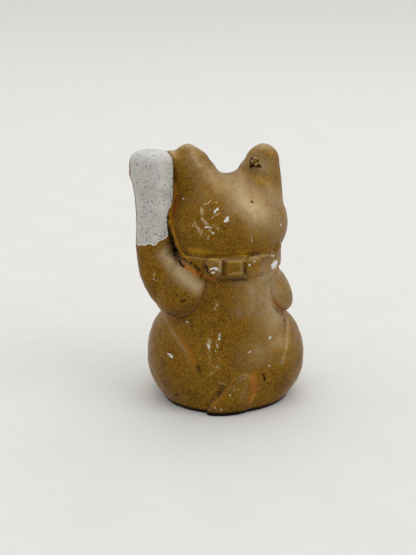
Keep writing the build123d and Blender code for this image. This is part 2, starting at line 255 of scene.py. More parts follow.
TOE_LINES = (
    (((11.7, 0.5), (11.6, 5.2)), 0.5, 0.45),
    (((14.2, 0.5), (14.3, 5.2)), 0.5, 0.45),
    (((-11.7, 0.5), (-11.6, 5.2)), 0.5, 0.45),
    (((-14.2, 0.5), (-14.3, 5.2)), 0.5, 0.45),
    (((-2.3, 0.5), (-2.3, 3.6)), 0.5, 0.45),
    (((-4.9, 0.5), (-4.9, 3.6)), 0.5, 0.45),
    (((17.6, 61.5), (17.6, 66.0)), 0.5, 0.45),
    (((21.2, 61.5), (21.2, 66.0)), 0.5, 0.45),
)

# The nose, raised where the lines are pressed
NOSE = (((0.0, 47.3),), 1.5, -0.6)


def length_setting(name, description, default):
    """A length among the settings."""
    return FloatProperty(name=name, description=description, default=default, unit="LENGTH")


def colour_setting(name, description, default):
    """A colour among the settings."""
    return FloatVectorProperty(
        name=name, description=description, default=default, subtype="COLOR", min=0, max=1,
    )


class ClaySettings(bpy.types.PropertyGroup):
    """Sizes of the clay's surface."""

    grain: length_setting("Surface grain", "Side of one facet of the clay skin", 0.3 * MM)
    body_grain: length_setting("Body grain", "Side of one facet of the body's skin", 0.36 * MM)
    body_blend: IntProperty(
        name="Body blend", description="Smoothing passes over the whole body", default=7, min=0,
    )
    piece_blend: IntProperty(
        name="Piece blend", description="Smoothing passes over each piece that is stuck on", default=8,
        min=0,
    )
    body_fill: IntProperty(
        name="Body fill", description="Rounds in which clay fills the body's sharp hollows", default=15,
        min=0,
    )
    piece_fill: IntProperty(
        name="Piece fill", description="Rounds in which clay fills a stuck-on piece's sharp hollows",
        default=14, min=0,
    )
    fill_limit: length_setting("Fill limit", "The most that clay rises in a hollow", 1.2 * MM)
    face_front: length_setting("Face front", "Depth from which the face keeps its crisp hollows", 9 * MM)
    tuck_reach: length_setting("Tuck reach", "How far from its seat a piece starts to tuck in", 0.9 * MM)
    tuck_depth: length_setting("Tuck depth", "How far a piece's rim tucks into its seat", 0.6 * MM)
    # The seat value also feeds the painted shade along each seam.
    seat_reach: length_setting("Seat reach", "How far from a seam its dirt reaches", 0.35 * MM)
    cover_depth: length_setting(
        "Cover depth", "How deep the body's skin dips under a piece it covers the join of", 0.35 * MM,
    )
    cover_reach: length_setting("Cover reach", "How far from the body a join is covered", 1.5 * MM)
    # Crease values also feed the painted shade in the hollows.
    crease_low: FloatProperty(
        name="Crease start", description="Hollowness per metre at which paint starts to gather",
        default=20.0,
    )
    crease_high: FloatProperty(
        name="Crease full", description="Hollowness per metre at which the gathered paint covers",
        default=100.0,
    )
    groove_depth: length_setting("Groove depth", "How deep the lines on the back are pressed", 0.2 * MM)
    groove_width: length_setting("Groove width", "Half the width of a pressed line", 1.4 * MM)
    hand_lumps: length_setting("Hand lumps", "Height of the uneven finger-worked surface", 0.16 * MM)
    chip_depth: length_setting("Chip depth", "How deep a paint chip lies", 0.1 * MM)
    pit_depth: length_setting("Pit depth", "How deep a pit is", 0.5 * MM)
    bare_depth: length_setting("Bare depth", "Thickness of the coat lost on the bare patch", 0.16 * MM)
    loop_corners: FloatProperty(
        name="Loop corners", description="How far the bow loops' corners are pushed out", default=0.08,
        subtype="FACTOR",
    )
    loop_height: FloatProperty(
        name="Loop height", description="How much taller the bow loops are drawn out", default=1.14,
    )
    knot_dish: length_setting("Knot dish", "How deep the knot's middle is pressed", 0.06 * MM)
    stray: length_setting("Stray", "How far a mark wanders from its line", 0.22 * MM)
    crumb_size: length_setting("Crumb size", "Radius of the crumb stuck to the right ear", 1.3 * MM)


class PaintSettings(bpy.types.PropertyGroup):
    """Colours of the paint and the clay."""

    gold: colour_setting("Gold", "Worn gold paint", (0.185, 0.08, 0.002))
    pale_gold: colour_setting("Pale gold", "Brighter grains of paint", (0.33, 0.178, 0.016))
    # Also the colour of the painted sheen on faces turned up or towards the light.
    worn: colour_setting("Worn gold", "Rubbed, dusty paint on what stands proud", (0.47, 0.355, 0.2))
    brown: colour_setting("Brown", "Tarnished paint", (0.06, 0.024, 0.001))
    crease: colour_setting("Crease", "Orange ground that shows beside the creases", (0.34, 0.115, 0.012))
    ridge: colour_setting("Ridge", "Thick yellow paint on a ridge", (0.5, 0.25, 0.012))
    # Also the colour of the painted shade in the hollows and joins and of the painted contact shadow along
    # the foot.
    soot_and_shade: colour_setting("Soot", "Dirt in the pits and seams", (0.01, 0.004, 0.001))
    bare: colour_setting("Bare clay", "Pale clay where the paint has come off", (0.55, 0.54, 0.5))
    chip: colour_setting("Chip", "White ground that shows in a chip", (0.68, 0.67, 0.64))


class StageSettings(bpy.types.PropertyGroup):
    """The floor, the light and the camera."""

    floor: colour_setting("Floor", "Colour of the floor", (0.7, 0.7, 0.675))
    lens: FloatProperty(name="Lens", description="Focal length in millimetres", default=70.0)
    turn: FloatProperty(
        name="Turn", description="How far the camera stands round from straight behind",
        default=math.radians(9.5), unit="ROTATION",
    )
    rise: FloatProperty(
        name="Rise", description="How far above level the camera stands", default=math.radians(19.0),
        unit="ROTATION",
    )
    distance: length_setting("Distance", "From the camera to the point it looks at", 283 * MM)
    target: FloatVectorProperty(
        name="Target", description="The point the camera looks at", default=(5.0 * MM, 0.0, 33.0 * MM),
        subtype="TRANSLATION",
    )
    floor_reach: length_setting("Floor reach", "From the middle of the floor to its sides", 6.0)
    near_clip: length_setting("Near clip", "Nearest thing that the camera sees", 10 * MM)
    window: FloatProperty(name="Window", description="Power of the window light", default=6.3, min=0)
    window_place: FloatVectorProperty(
        name="Window place", description="Middle of the window light", default=(-1.1, 0.8, 1.1),
        subtype="TRANSLATION",
    )
    window_side: length_setting("Window side", "Side of the window light", 1.1)
    ceiling: FloatProperty(
        name="Ceiling", description="Power of the soft light overhead", default=1.2, min=0,
    )
    ceiling_place: FloatVectorProperty(
        name="Ceiling place", description="Middle of the light overhead", default=(-0.1, -0.25, 0.8),
        subtype="TRANSLATION",
    )
    ceiling_side: length_setting("Ceiling side", "Side of the light overhead", 0.6)
    sky: FloatProperty(name="Sky", description="Strength of the light from all round", default=0.98, min=0)
    backdrop: FloatProperty(
        name="Backdrop", description="How pale the room looks", default=0.7, min=0, max=1,
    )


def settings():
    """The three groups of settings."""
    scene = bpy.context.scene
    return scene.lucky_cat_clay, scene.lucky_cat_paint, scene.lucky_cat_stage


def merged_copy(nodes):
    """A bmesh of copies of these CAD nodes, with their loose triangles merged."""
    shape = bmesh.new()
    for node in nodes:
        shape.from_mesh(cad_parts[node].data)
    bmesh.ops.remove_doubles(shape, verts=shape.verts, dist=0.002 * MM)
    return shape


def new_piece(shape, name):
    """A new object in the scene from a bmesh, which is freed."""
    mesh = bpy.data.meshes.new(name)
    shape.to_mesh(mesh)
    shape.free()
    piece = bpy.data.objects.new(name, mesh)
    bpy.context.scene.collection.objects.link(piece)
    return piece


def settle_modifiers(piece):
    """Makes the result of the piece's modifiers its own mesh."""
    finished = piece.evaluated_get(bpy.context.evaluated_depsgraph_get())
    mesh = bpy.data.meshes.new_from_object(finished)
    mesh.name = piece.name
    piece.modifiers.clear()
    piece.data = mesh
    return piece


def clay_copy(shape, name, grain, blend):
    """A bmesh as one even clay skin, softened by the blend."""
    piece = new_piece(shape, name)
    skin = piece.modifiers.new("Skin", "REMESH")
    skin.mode = "VOXEL"
    skin.voxel_size = grain
    soften = piece.modifiers.new("Soften", "SMOOTH")
    soften.factor = 0.5
    soften.iterations = blend
    return settle_modifiers(piece)


def surface(piece):
    """The places and normals of a piece's vertices."""
    count = len(piece.data.vertices)
    places = np.empty(count * 3)
    normals = np.empty(count * 3)
    piece.data.vertices.foreach_get("co", places)
    piece.data.vertex_normals.foreach_get("vector", normals)
    return places.reshape(-1, 3), normals.reshape(-1, 3)


def reshape(piece, places):
    """Moves a piece's vertices to these places."""
    piece.data.vertices.foreach_set("co", places.ravel())
    piece.data.update()


def paint_value(piece, name, values):
    """Stores one value per vertex for the material to read."""
    layer = piece.data.attributes.new(name, "FLOAT", "POINT")
    layer.data.foreach_set("value", values)


def painted(piece, name):
    """A value stored per vertex."""
    values = np.empty(len(piece.data.vertices))
    piece.data.attributes[name].data.foreach_get("value", values)
    return values


def edge_ends(piece):
    """The two vertices of each of a piece's edges."""
    ends = np.empty(len(piece.data.edges) * 2, dtype=np.int32)
    piece.data.edges.foreach_get("vertices", ends)
    return ends.reshape(-1, 2).T


def neighbour_mean(ends, values):
    """The mean of each vertex's neighbours."""
    first, second = ends
    size = len(values)
    links = np.bincount(first, minlength=size) + np.bincount(second, minlength=size)
    columns = [
        np.bincount(first, column[second], minlength=size)
        + np.bincount(second, column[first], minlength=size)
        for column in values.reshape(size, -1).T
    ]
    return (np.stack(columns, axis=1) / np.maximum(links, 1)[:, None]).reshape(values.shape)


def evened(ends, values, passes):
    """Values spread out among neighbours, pass by pass."""
    for _ in range(passes):
        values = 0.5 * (values + neighbour_mean(ends, values))
    return values


def hollowness(piece, spread):
    """How concave the surface is at each vertex, per metre, evened out over the spread."""
    ends = edge_ends(piece)
    places, normals = surface(piece)
    first, second = ends
    step = np.linalg.norm(places[first] - places[second], axis=1).mean()
    hollow = np.einsum("ij,ij->i", neighbour_mean(ends, places) - places, normals)
    return evened(ends, hollow / step**2, spread)


def fill_hollows(piece, passes, share, limit):
    """Lets clay settle into sharp hollows, up to a limit and by a share at each vertex."""
    ends = edge_ends(piece)
    start, _ = surface(piece)
    most = limit * np.broadcast_to(share, len(start))
    for _ in range(passes):
        places, normals = surface(piece)
        for _ in range(FILL_STEPS):
            drift = neighbour_mean(ends, places) - places
            lift = np.einsum("ij,ij->i", drift, normals)
            slide = drift - normals * lift[:, None]
            rise = evened(ends, np.clip(lift, 0, None), 1) * share
            places = places + normals * rise[:, None] + SLIDE_SHARE * slide
        gone = places - start
        length = np.linalg.norm(gone, axis=1)
        over = length > most
        gone[over] *= (most[over] / length[over])[:, None]
        reshape(piece, start + gone)


def line_gap(places, line):
    """How far each vertex lies from a line of places in millimetres, seen from behind."""
    seen = places[:, [0, 2]]
    points = np.array(line) * MM
    gaps = np.linalg.norm(seen - points[0], axis=1)
    for start, end in zip(points[:-1], points[1:]):
        way = end - start
        share = np.clip((seen - start) @ way / (way @ way), 0, 1)
        gaps = np.minimum(gaps, np.linalg.norm(seen - start - share[:, None] * way, axis=1))
    return gaps


def marks(places, lines, behind):
    """How far each vertex on the back lies inside these marks: a half at the edge, one at the middle."""
    inside = np.zeros(len(places))
    for line, half_width, share in lines:
        near = 1 - line_gap(places, line) / (2 * half_width * MM)
        inside = np.maximum(inside, share * np.clip(near, 0, 1))
    return inside * behind


def outline_depth(places, outline):
    """How deep each vertex lies inside a closed outline of places in millimetres, seen from behind."""
    seen = places[:, [0, 2]]
    points = np.array(outline) * MM
    inside = np.zeros(len(places), dtype=bool)
    for (x, z), (next_x, next_z) in zip(points, np.roll(points, -1, axis=0)):
        if z != next_z:
            level = (z > seen[:, 1]) != (next_z > seen[:, 1])
            inside ^= level & (seen[:, 0] < x + (next_x - x) * (seen[:, 1] - z) / (next_z - z))
    return np.where(inside, 1, -1) * line_gap(places, (*outline, outline[0]))


def tree_of(nodes):
    """A search tree over these CAD nodes."""
    shape = merged_copy(nodes)
    tree = BVHTree.FromBMesh(shape)
    shape.free()
    return tree


def nearest(places, tree, reach):
    """Distance from each place to the tree's surface, and that surface's normal, out to a reach."""
    gaps = np.full(len(places), reach)
    facing = np.zeros((len(places), 3))
    for index, place in enumerate(places):
        found, normal, _, gap = tree.find_nearest(Vector(place), reach)
        if found is not None:
            side = (Vector(place) - found).dot(normal)
            gaps[index] = gap if side > 0 else -gap
            facing[index] = normal
    return gaps, facing


def smooth_step(low, high, values):
    """Nought below low, one above high, and an even rise between."""
    share = np.clip((values - low) / (high - low), 0, 1)
    return share * share * (3 - 2 * share)


def lumps(places, size, seed):
    """Soft noise from minus one to one at each place."""
    offset = Vector((seed, 2 * seed, 3 * seed))
    return np.array([noise.noise(Vector(place) / size + offset) for place in places])


def other_nodes(own):
    """All the CAD nodes but these and what lies inside the body."""
    return [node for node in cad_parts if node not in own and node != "seam_slip"]


def tuck_in(piece, own, clay):
    """Turns the rim of a stuck-on piece down into what it sits on."""
    places, _ = surface(piece)
    gaps, facing = nearest(places, tree_of(other_nodes(own)), clay.tuck_reach)
    share = 1 - smooth_step(0, clay.tuck_reach, gaps)
    reshape(piece, places - facing * (share * clay.tuck_depth)[:, None])


def strayed(places, reach):
    """The places, each moved aside by soft noise, so that the marks on them wander."""
    moved = places.copy()
    moved[:, 0] += reach * lumps(places, 0.7 * MM, 11.0)
    moved[:, 2] += reach * lumps(places, 0.7 * MM, 17.0)
    return moved


def take_stock(piece, own, clay):
    """Stores where the even skin is hollow, proud or near its seat, before parts of it are cut finer."""
    places, _ = surface(piece)
    hollow = hollowness(piece, 6)
    gaps, _ = nearest(places, tree_of(other_nodes(own)), 2 * clay.tuck_reach)
    seat = 1 - smooth_step(0, clay.seat_reach, gaps)
    crease = np.maximum(smooth_step(clay.crease_low, clay.crease_high, hollow), seat)
    paint_value(piece, "crease", evened(edge_ends(piece), crease, 1))
    paint_value(piece, "seat", seat)
    paint_value(piece, "proud", smooth_step(clay.crease_low, clay.crease_high, -hollow))


def cut_finer(piece, lines):
    """Halves the facets twice along these lines on the back, so that narrow marks come out crisp."""
    for margin in (0.35 * MM, 0.15 * MM):
        shape = bmesh.new()
        shape.from_mesh(piece.data)
        shape.verts.index_update()
        places, normals = surface(piece)
        near = np.zeros(len(places), dtype=bool)
        for line, half_width, _ in lines:
            near |= line_gap(places, line) < half_width * MM + margin
        near &= normals[:, 1] > 0
        edges = [edge for edge in shape.edges if all(near[vert.index] for vert in edge.verts)]
        bmesh.ops.subdivide_edges(shape, edges=edges, cuts=1, use_grid_fill=True)
        shape.to_mesh(piece.data)
        shape.free()


def finish_clay(piece, own, clay):
    """Lumps, chips and pitting, and paint values with painted sheen and painted shade, that every clay piece
    has.
    """
    take_stock(piece, own, clay)
    cut_finer(piece, [*WHITE_CHIPS, *(scrape for scrape in SCRAPES_AND_HIGHLIGHT if scrape[1] < 0.5)])
    places, normals = surface(piece)
    crease, seat, proud = (painted(piece, name) for name in ("crease", "seat", "proud"))
    behind = smooth_step(-0.1, 0.15, normals[:, 1])
    above_ground = smooth_step(0.3 * MM, 1.2 * MM, places[:, 2])
    uneven = lumps(places, 5 * MM, 3.0) + 0.5 * lumps(places, 1.8 * MM, 7.0)
    wandering = strayed(places, clay.stray)
    chips = marks(wandering, WHITE_CHIPS, behind)
    pits_and_shade = marks(wandering, DARK_LINES, behind)
    orange = marks(wandering, ORANGE_LINES, behind)
    ridge = marks(wandering, GOLD_LINES, behind)
    soft = smooth_step(0.1, 0.5, marks(places, SOFT_JOINS, behind))
    rubbed = smooth_step(-0.1, 0.6, lumps(places, 9 * MM, 23.0)) * (1 - behind)
    # Paler where the surface faces up, a painted sheen from the light above, and paler where it stands proud
    # or is rubbed, which is wear.
    worn = 0.4 * smooth_step(0.1, 1, normals[:, 2]) + 0.25 * proud + 0.4 * rubbed
    rise = clay.hand_lumps * uneven * (1 - seat)
    rise -= clay.chip_depth * smooth_step(0.4, 0.6, chips)
    rise -= clay.pit_depth * smooth_step(0.3, 0.9, pits_and_shade)
    rise += clay.chip_depth * ridge
    places = places + normals * (rise * above_ground)[:, None]
    places[:, 2] = np.maximum(places[:, 2], 0)
    reshape(piece, places)
    # The seam value is painted shade: darker in the hollows and along the joins, but not on the smoothed-over
    # joins or under the orange lines.
    paint_value(piece, "seam", crease * (1 - soft) * (1 - 0.8 * smooth_step(0.2, 0.6, orange)))
    paint_value(piece, "orange", np.maximum(orange, 0.8 * crease * (1 - behind)))
    paint_value(piece, "ridge", ridge)
    paint_value(piece, "chip", chips)
    paint_value(piece, "scrape", marks(wandering, SCRAPES_AND_HIGHLIGHT, behind))
    paint_value(piece, "pit", pits_and_shade)
    # The ground value is a painted contact shadow: the lowest millimetre and a half turns dark.
    paint_value(piece, "ground", 1 - smooth_step(1.0 * MM, 1.5 * MM, places[:, 2]))
    paint_value(piece, "worn", np.maximum(worn, marks(places, SHEEN_AND_WEAR_LINES, behind)))
    piece.data.shade_smooth()
    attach(piece, "root")
    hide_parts(*own)
    piece.data.materials.clear()
    piece.data.materials.append(gilt_paint())
    return piece


# Materials


def node_graph(name):
    """A new material's nodes and links, with its shader."""
    material = bpy.data.materials.new(name)
    material.use_nodes = True
    nodes = material.node_tree.nodes
    return material, nodes, material.node_tree.links, nodes["Principled BSDF"]


def noise_texture(nodes, links, coordinates, scale, detail=3.0, roughness=0.55):
    """A noise texture on the object's own coordinates."""
    texture = nodes.new("ShaderNodeTexNoise")
    texture.inputs["Scale"].default_value = scale
    texture.inputs["Detail"].default_value = detail
    texture.inputs["Roughness"].default_value = roughness
    links.new(coordinates, texture.inputs["Vector"])
    return texture.outputs["Fac"]


def ramp(nodes, links, value, low, high):
    """Maps a value between low and high to nought and one."""
    ranged = nodes.new("ShaderNodeMapRange")
    ranged.interpolation_type = "SMOOTHSTEP"
    ranged.inputs["From Min"].default_value = low
    ranged.inputs["From Max"].default_value = high
    links.new(value, ranged.inputs["Value"])
    return ranged.outputs["Result"]


def mixed(nodes, links, share, first, second):
    """Mixes two colours, each given as a colour or as a socket."""
    mix = nodes.new("ShaderNodeMix")
    mix.data_type = "RGBA"
    for socket, value in ((mix.inputs["Factor"], share), (mix.inputs["A"], first), (mix.inputs["B"], second)):
        connect(links, socket, value)
    return mix.outputs["Result"]


def connect(links, socket, value):
    """Links a socket, or sets its plain number or colour."""
    if isinstance(value, bpy.types.NodeSocket):
        links.new(value, socket)
    elif isinstance(value, (int, float)):
        socket.default_value = value
    else:
        socket.default_value = (*value, 1)


def maths(nodes, links, operation, first, second):
    """One sum on two numbers or sockets."""
    step = nodes.new("ShaderNodeMath")
    step.operation = operation
    connect(links, step.inputs[0], first)
    connect(links, step.inputs[1], second)
    return step.outputs["Value"]


def attribute(nodes, name):
    """A value painted on the mesh."""
    node = nodes.new("ShaderNodeAttribute")
    node.attribute_name = name
    return node.outputs["Fac"]


def gilt_paint():
    """Tarnished gold paint over pale clay, with orange creases, chips, rubbed places and a bare patch, and
    painted sheen, glints, shade and contact shadow.
    """
    name = "gilt_paint"
    if name in bpy.data.materials:
        return bpy.data.materials[name]
    _, paint, _ = settings()
    material, nodes, links, shader = node_graph(name)
    here = nodes.new("ShaderNodeTexCoord").outputs["Object"]

    def times(first, second):
        return maths(nodes, links, "MULTIPLY", first, second)

    def plus(first, second):
        return maths(nodes, links, "ADD", first, second)

    def between(value, low, high):
        return ramp(nodes, links, value, low, high)

    def over(share, below, above):
        return mixed(nodes, links, share, below, above)

    clouds = noise_texture(nodes, links, here, CLOUDS, 3)
    blotches = noise_texture(nodes, links, here, BLOTCHES, 5, 0.6)
    speckle = noise_texture(nodes, links, here, SPECKLE, 4, 0.7)
    dust = noise_texture(nodes, links, here, DUST, 3, 0.75)
    ragged = plus(times(plus(speckle, -0.5), 2.4), times(plus(dust, -0.5), 1.2))

    colour = over(times(between(clouds, 0.35, 0.68), 0.3), paint.gold, paint.pale_gold)
    colour = over(times(between(blotches, 0.45, 0.7), 0.6), colour, paint.brown)
    rough_edge = plus(times(plus(blotches, -0.5), 0.7), times(plus(dust, -0.5), 1.4))
    # Pale colour laid over rubbed wear and over the painted sheen.
    worn = between(plus(attribute(nodes, "worn"), rough_edge), 0.12, 1.05)
    colour = over(times(worn, 0.95), colour, paint.worn)
    kept = maths(nodes, links, "SUBTRACT", 1.0, times(worn, 0.7))
    colour = over(times(between(dust, 0.5, 0.38), 0.8), colour, paint.pale_gold)
    colour = over(times(between(dust, 0.46, 0.34), 0.12), colour, paint.worn)
    # White specks in the pale places: painted glints.
    colour = over(times(times(between(dust, 0.48, 0.36), worn), 0.5), colour, paint.chip)
    colour = over(times(times(between(speckle, 0.5, 0.68), 0.5), kept), colour, paint.brown)
    colour = over(times(times(between(dust, 0.52, 0.64), 0.6), kept), colour, paint.brown)

    orange = between(plus(attribute(nodes, "orange"), times(plus(dust, -0.5), 0.8)), 0.25, 0.85)
    colour = over(times(orange, 0.9), colour, paint.crease)
    ridge = between(plus(attribute(nodes, "ridge"), times(plus(speckle, -0.5), 0.6)), 0.2, 0.7)
    colour = over(times(ridge, 0.8), colour, paint.ridge)

    scraped_and_highlight = between(plus(attribute(nodes, "scrape"), ragged), 0.5, 0.75)
    scraped_and_highlight = times(scraped_and_highlight, between(attribute(nodes, "scrape"), 0.15, 0.4))
    colour = over(times(scraped_and_highlight, 0.8), colour, paint.worn)
    chip = between(plus(attribute(nodes, "chip"), times(ragged, 0.6)), 0.42, 0.56)
    chip = times(chip, between(attribute(nodes, "chip"), 0.1, 0.3))
    colour = over(chip, colour, paint.chip)

    holes = between(noise_texture(nodes, links, here, HOLES, 2), 0.37, 0.29)
    streaks = between(blotches, 0.35, 0.65)
    stripped = over(streaks, paint.bare, [0.84 * share for share in paint.bare])
    stripped = over(times(attribute(nodes, "worn"), 0.6), stripped, paint.chip)
    stripped = over(times(between(dust, 0.5, 0.4), 0.4), stripped, paint.chip)
    stripped = over(times(between(dust, 0.52, 0.64), 0.3), stripped, paint.brown)
    stripped = over(times(scraped_and_highlight, 0.25), stripped, paint.brown)
    stripped = over(times(holes, 0.75), stripped, paint.soot_and_shade)
    depth = attribute(nodes, "bare")
    bare = between(depth, 0.0, 0.08)
    colour = over(bare, colour, stripped)
    torn = times(times(bare, between(depth, 0.36, 0.26)), attribute(nodes, "torn"))
    colour = over(torn, colour, paint.chip)
    # A painted shadow: a darker line just inside the torn lower edge of the bare patch.
    step = times(times(between(depth, 0.3, 0.4), between(depth, 0.62, 0.5)), attribute(nodes, "torn"))
    colour = over(times(step, between(speckle, 0.4, 0.6)), colour, [0.5 * share for share in paint.bare])

    # Darkening in one dark colour: painted shade in the hollows and joins, real pits and painted shade along
    # the crevices, and a painted contact shadow along the foot.
    seam = times(attribute(nodes, "seam"), between(plus(blotches, speckle), 0.7, 1.1))
    pit = between(plus(attribute(nodes, "pit"), ragged), 0.35, 0.65)
    pit = times(pit, between(attribute(nodes, "pit"), 0.1, 0.3))
    darkening = maths(nodes, links, "MAXIMUM", times(pit, 0.9), times(seam, 0.65))
    darkening = maths(nodes, links, "MAXIMUM", darkening, attribute(nodes, "ground"))
    colour = over(darkening, colour, paint.soot_and_shade)
    links.new(colour, shader.inputs["Base Color"])

    dull = maths(nodes, links, "MAXIMUM", maths(nodes, links, "MAXIMUM", chip, bare), darkening)
    roughness = plus(times(blotches, 0.3), 0.3)
    links.new(plus(roughness, times(dull, 0.35)), shader.inputs["Roughness"])
    links.new(times(maths(nodes, links, "SUBTRACT", 1.0, dull), 0.5), shader.inputs["Metallic"])
    shader.inputs["Specular IOR Level"].default_value = 0.1
    shader.inputs["Sheen Weight"].default_value = 0.14
    shader.inputs["Sheen Roughness"].default_value = 0.35

    height = plus(times(speckle, 0.6), times(dust, 0.35))
    height = maths(nodes, links, "SUBTRACT", plus(height, blotches), times(holes, times(bare, 1.2)))
    bump = nodes.new("ShaderNodeBump")
    bump.inputs["Strength"].default_value = 0.8
    bump.inputs["Distance"].default_value = 0.14 * MM
    links.new(height, bump.inputs["Height"])
    links.new(bump.outputs["Normal"], shader.inputs["Normal"])
    return material


def bare_clay():
    """Pale unpainted clay under the base and inside."""
    name = "bare_clay"
    if name in bpy.data.materials:
        return bpy.data.materials[name]
    _, paint, _ = settings()
    material, nodes, links, shader = node_graph(name)
    here = nodes.new("ShaderNodeTexCoord").outputs["Object"]
    clouds = noise_texture(nodes, links, here, CLAY_CLOUDS, 5)
    grain = noise_texture(nodes, links, here, CLAY_GRAIN, 3)
    patches = ramp(nodes, links, clouds, 0.35, 0.7)
    colour = mixed(nodes, links, patches, paint.bare, [0.8 * share for share in paint.bare])
    colour = mixed(nodes, links, ramp(nodes, links, grain, 0.62, 0.7), colour, paint.brown)
    links.new(colour, shader.inputs["Base Color"])
    shader.inputs["Roughness"].default_value = 0.85
    bump = nodes.new("ShaderNodeBump")
    bump.inputs["Strength"].default_value = 0.5
    bump.inputs["Distance"].default_value = 0.08 * MM
    links.new(grain, bump.inputs["Height"])
    links.new(bump.outputs["Normal"], shader.inputs["Normal"])
    return material


def floor_paper(colour):
    """Pale paper with faint fibres."""
    material, nodes, links, shader = node_graph("floor_paper")
    here = nodes.new("ShaderNodeTexCoord").outputs["Object"]
    fibres = ramp(nodes, links, noise_texture(nodes, links, here, PAPER_FIBRES, 6, 0.7), 0.3, 0.7)
    shaded = mixed(nodes, links, fibres, [0.97 * share for share in colour], list(colour))
    links.new(shaded, shader.inputs["Base Color"])
    shader.inputs["Roughness"].default_value = 0.9
    return material


# Pieces


class LUCKYCAT_OT_body(bpy.types.Operator):
    """Body, head and ears as one painted skin over the two pressed shells"""

    bl_idname = "luckycat.body"
    bl_label = "Body Skin"

    def execute(self, context):
        clay, _, _ = settings()
        own = ["front_shell", "back_shell"]
        shape = merged_copy([*own, *SMOOTHED_OVER])
        for middle, half_sizes in SMEARS:
            smear = Matrix.LocRotScale(Vector(middle) * MM, None, Vector(half_sizes) * MM)
            bmesh.ops.create_icosphere(shape, subdivisions=4, radius=1, matrix=smear)
        body = clay_copy(shape, "body_skin", clay.body_grain, clay.body_blend)
        drop_inner_wall(body)
        places, _ = surface(body)
        off_the_face = smooth_step(-clay.face_front, 4 * MM - clay.face_front, places[:, 1])
        under_the_chin = 1 - smooth_step(38 * MM, 40 * MM, places[:, 2])
        gaps, _ = nearest(places, tree_of(SMOOTHED_OVER), 2 * clay.cover_reach)
        clear = smooth_step(clay.cover_depth, 2 * clay.cover_reach, gaps)
        share = np.maximum(off_the_face, under_the_chin) * clear
        fill_hollows(body, clay.body_fill, share, clay.fill_limit)
        nudge(body)
        dip_under(body, own, clay)
        press(body, [(line, clay.groove_width / MM, clay.groove_depth / MM) for line in PRESSED_LINES], 1)
        press(body, (*FACE_LINES, NOSE), -1)
        finish_clay(body, own, clay)
        add_crumb(clay)
        return {"FINISHED"}


def nudge(piece):
    """Pushes the ears' and the crown's outline a little, as a thumb would."""
    places, _ = surface(piece)
    for place, reach, (aside, up) in NUDGES:
        share = 1 - smooth_step(0, reach * MM, line_gap(places, (place,)))
        places = places + share[:, None] * np.array((aside, 0, up)) * MM
    reshape(piece, places)


def dip_under(body, own, clay):
    """Dips the body's skin under the pieces it is smoothed over to, and drops it further out on them."""
    places, normals = surface(body)
    gaps, _ = nearest(places, tree_of(SMOOTHED_OVER), clay.cover_reach)
    own_gaps, _ = nearest(places, tree_of(own), clay.cover_reach)
    under = (1 - smooth_step(0.1 * MM, 0.5 * MM, gaps)) * smooth_step(0.3 * MM, 1.2 * MM, own_gaps)
    reshape(body, places - normals * (under * clay.cover_depth)[:, None])
    far = (under > 0.9) & (own_gaps >= clay.cover_reach)
    shape = bmesh.new()
    shape.from_mesh(body.data)
    shape.verts.index_update()
    hidden = [face for face in shape.faces if all(far[vert.index] for vert in face.verts)]
    bmesh.ops.delete(shape, geom=hidden, context="FACES")
    shape.to_mesh(body.data)
    shape.free()


def press(piece, lines, facing):
    """Presses lines, each with half its width and its depth in millimetres, into the back or the front."""
    places, normals = surface(piece)
    reached = smooth_step(0, 0.3, facing * normals[:, 1])
    for line, half_width, depth in lines:
        dip = 1 - smooth_step(0, half_width * MM, line_gap(places, line))
        places = places - normals * (depth * MM * dip * reached)[:, None]
    reshape(piece, places)


def drop_inner_wall(body):
    """Takes away the hollow's wall above the base slab, where nothing shows it."""
    shape = bmesh.new()
    shape.from_mesh(body.data)
    rim = 0.5 * MM
    start = max(shape.faces, key=lambda face: face.calc_center_median().z)
    seen = {start}
    queue = [start]
    while queue:
        face = queue.pop()
        for edge in face.edges:
            for other in edge.link_faces:
                if other not in seen and other.calc_center_median().z > rim:
                    seen.add(other)
                    queue.append(other)
    slab_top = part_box("base_slab")[1].z
    inner = [
        face for face in shape.faces
        if face not in seen and face.calc_center_median().z > slab_top + rim
    ]
    bmesh.ops.delete(shape, geom=inner, context="FACES")
    shape.to_mesh(body.data)
    shape.free()


def add_crumb(clay):
    """A rough crumb of clay stuck to the back of the right ear."""
    shape = bmesh.new()
    for place, share in (((-6.7, 1.2, 63.7), 1.0), ((-7.6, 1.5, 62.7), 0.7), ((-6.0, 1.3, 62.8), 0.55)):
        lump = Matrix.Translation(Vector(place) * MM)
        bmesh.ops.create_icosphere(shape, subdivisions=4, radius=share * clay.crumb_size, matrix=lump)
    bites = []
    for vert in shape.verts:
        bite = noise.noise(vert.co / (0.8 * MM)) + 0.7 * noise.noise(vert.co / (0.35 * MM))
        bites.append(bite)
        vert.co += vert.normal * (0.45 * bite * MM)
    crumb = new_piece(shape, "ear_crumb")
    # The crumb's hollows are darkened with painted shade and its bumps made paler.
    paint_value(crumb, "pit", 1.3 * smooth_step(-0.05, 0.3, -np.array(bites)))
    paint_value(crumb, "worn", 0.6 * smooth_step(0.0, 0.3, np.array(bites)))
    crumb.data.shade_smooth()
    crumb.data.materials.append(gilt_paint())
    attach(crumb, "root")


class LUCKYCAT_OT_arms(bpy.types.Operator):
    """The raised arm, with its bare patch, and the lowered arm"""

    bl_idname = "luckycat.arms"
    bl_label = "Arms"

    def execute(self, context):
        clay, _, _ = settings()
        for own in ("raised_arm", "lowered_arm"):
            arm = stuck_on(own, clay.grain, clay)
            press(arm, TOE_LINES, -1)
            if own == "raised_arm":
                bare_patch(arm, clay)
            finish_clay(arm, [own], clay)
        return {"FINISHED"}


